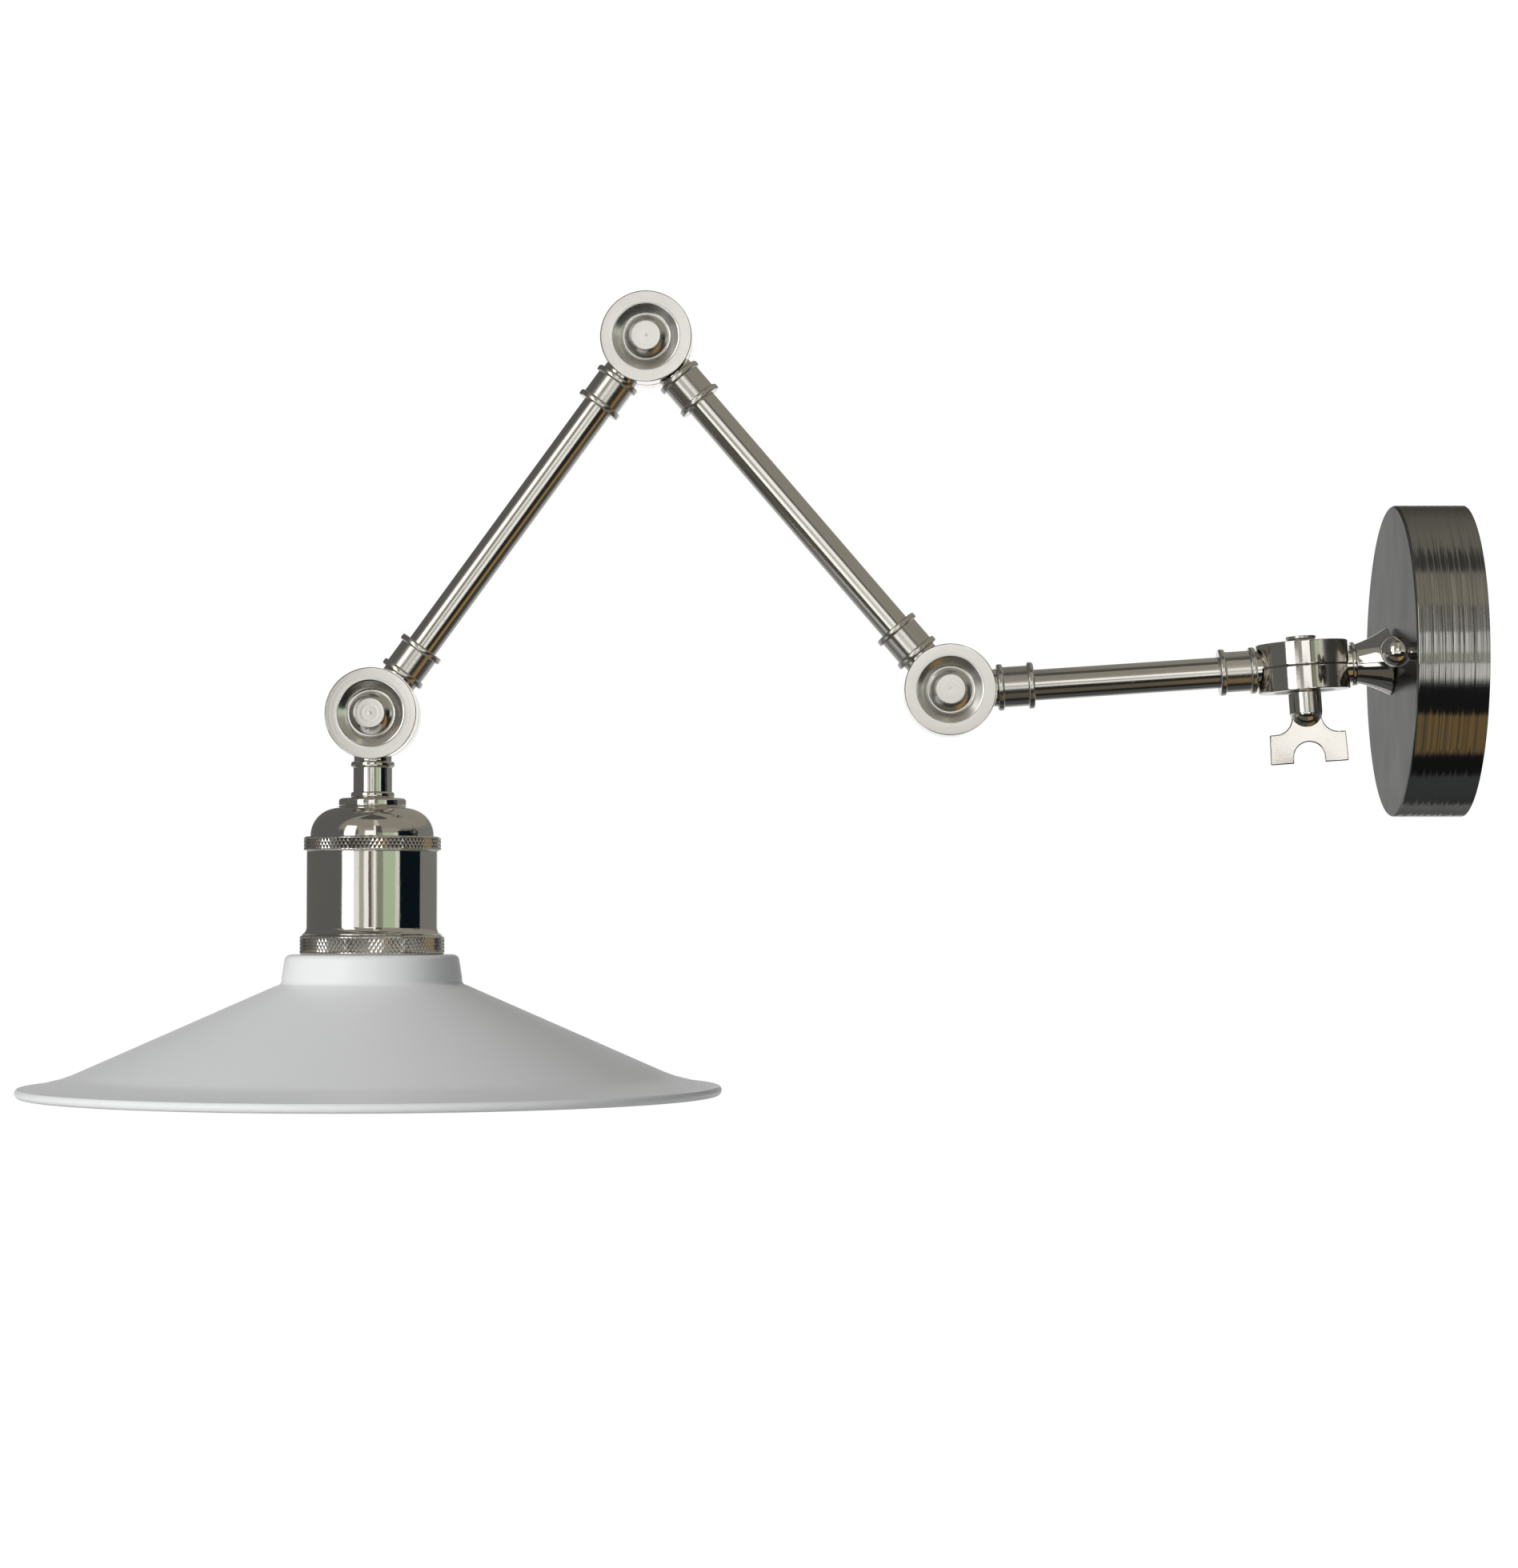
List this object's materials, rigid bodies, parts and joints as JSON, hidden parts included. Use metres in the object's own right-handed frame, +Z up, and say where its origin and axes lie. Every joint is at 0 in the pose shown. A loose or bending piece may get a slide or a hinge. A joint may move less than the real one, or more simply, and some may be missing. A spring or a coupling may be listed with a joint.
{
  "type": "articulating wall lamp",
  "caption": "Wall lamp with a round backplate, tubular arms joined by disc friction knuckles with wing nuts, a knurled screw lamp holder and a wide shallow shade.",
  "frame": {"origin": "centre of the backplate's back, on the wall plane", "axes": "+X points into the wall, the lamp reaches out along -X, +Z is up, the arms fold in the XZ plane"},
  "size_m": [0.4626, 0.225, 0.2586],
  "materials": {
    "plate_nickel": "polished nickel plate over turned brass, fine lathe lines on the side",
    "polished_nickel": "polished nickel plate over brass, slightly warm",
    "turned_nickel": "nickel plate over faced brass, fine concentric turning",
    "knurled_nickel": "nickel plated diamond knurl",
    "zinc_steel": "zinc plated steel",
    "plain_brass": "unplated brass",
    "white_enamel": "white satin powder coat on spun steel",
    "porcelain": "glazed white porcelain",
    "block_plastic": "moulded off-white plastic",
    "wire_insulation": "plastic insulated conductors",
    "friction_fibre": "dark fibre friction ring"
  },
  "bodies": {
    "wall_mount": {"backplate": "plate_nickel", "mounting_bracket": "zinc_steel", "bracket_studs": "zinc_steel", "stud_nuts": "zinc_steel", "ball_cap_nuts": "polished_nickel", "earth_screw": "plain_brass", "terminal_block": "block_plastic", "terminal_screws": "plain_brass", "block_screw": "zinc_steel", "stem_cone": "polished_nickel", "stem_washer": "zinc_steel", "stem_lock_nut": "plain_brass", "wall_knuckle": "turned_nickel", "swivel_bolt": "turned_nickel", "swivel_friction_ring": "friction_fibre"},
    "swivel_nut": {"swivel_wing_nut": "polished_nickel"},
    "wall_arm": {"wall_arm_near_knuckle": "turned_nickel", "wall_arm_far_knuckle": "turned_nickel", "wall_arm_near_collar": "polished_nickel", "wall_arm_far_collar": "polished_nickel", "wall_arm_tube": "polished_nickel", "wall_arm_wires": "wire_insulation", "shoulder_bolt": "turned_nickel", "shoulder_friction_ring": "friction_fibre"},
    "shoulder_nut": {"shoulder_wing_nut": "polished_nickel"},
    "rising_arm": {"rising_arm_near_knuckle": "turned_nickel", "rising_arm_far_knuckle": "turned_nickel", "rising_arm_near_collar": "polished_nickel", "rising_arm_far_collar": "polished_nickel", "rising_arm_tube": "polished_nickel", "rising_arm_wires": "wire_insulation", "elbow_bolt": "turned_nickel", "elbow_friction_ring": "friction_fibre"},
    "elbow_nut": {"elbow_wing_nut": "polished_nickel"},
    "lamp_arm": {"lamp_arm_near_knuckle": "turned_nickel", "lamp_arm_far_knuckle": "turned_nickel", "lamp_arm_near_collar": "polished_nickel", "lamp_arm_far_collar": "polished_nickel", "lamp_arm_tube": "polished_nickel", "lamp_arm_wires": "wire_insulation", "head_bolt": "turned_nickel", "head_friction_ring": "friction_fibre"},
    "head_nut": {"head_wing_nut": "polished_nickel"},
    "lamp_head": {"head_knuckle": "turned_nickel", "head_collar": "polished_nickel", "holder_cap": "polished_nickel", "cap_lock_nut": "plain_brass", "cap_ring": "knurled_nickel", "holder_shell": "polished_nickel", "holder_insert": "porcelain", "screw_shell": "plain_brass", "centre_contact": "plain_brass", "contact_screws": "plain_brass", "shade_ring": "knurled_nickel", "shade_nut": "knurled_nickel", "lampshade": "white_enamel"}
  },
  "joints": [
    {"name": "wall_swivel", "type": "hinge", "parent": "wall_mount", "child": "wall_arm", "pos_m": [-0.05076, 0, -0.00183], "axis": [-0.0663, 0, 0.9978], "range_deg": [-75, 75]},
    {"name": "shoulder_tilt", "type": "hinge", "parent": "wall_arm", "child": "rising_arm", "pos_m": [-0.1643, 0, -0.00937], "axis": [0, -1, 0], "range_deg": [-60, 60]},
    {"name": "elbow_tilt", "type": "hinge", "parent": "rising_arm", "child": "lamp_arm", "pos_m": [-0.26192, 0, 0.10452], "axis": [0, -1, 0], "range_deg": [-110, 14]},
    {"name": "head_tilt", "type": "hinge", "parent": "lamp_arm", "child": "lamp_head", "pos_m": [-0.35009, 0, -0.01683], "axis": [0, -1, 0], "range_deg": [-95, 24]},
    {"name": "swivel_wing_turn", "type": "hinge", "parent": "wall_mount", "child": "swivel_nut", "pos_m": [-0.05076, 0, -0.00183], "axis": [-0.0663, 0, 0.9978], "range_deg": [-180, 0]},
    {"name": "shoulder_wing_turn", "type": "hinge", "parent": "wall_arm", "child": "shoulder_nut", "pos_m": [-0.1643, 0, -0.00937], "axis": [0, -1, 0], "range_deg": [-180, 0]},
    {"name": "elbow_wing_turn", "type": "hinge", "parent": "rising_arm", "child": "elbow_nut", "pos_m": [-0.26192, 0, 0.10452], "axis": [0, -1, 0], "range_deg": [-180, 0]},
    {"name": "head_wing_turn", "type": "hinge", "parent": "lamp_arm", "child": "head_nut", "pos_m": [-0.35009, 0, -0.01683], "axis": [0, -1, 0], "range_deg": [-180, 0]}
  ]
}
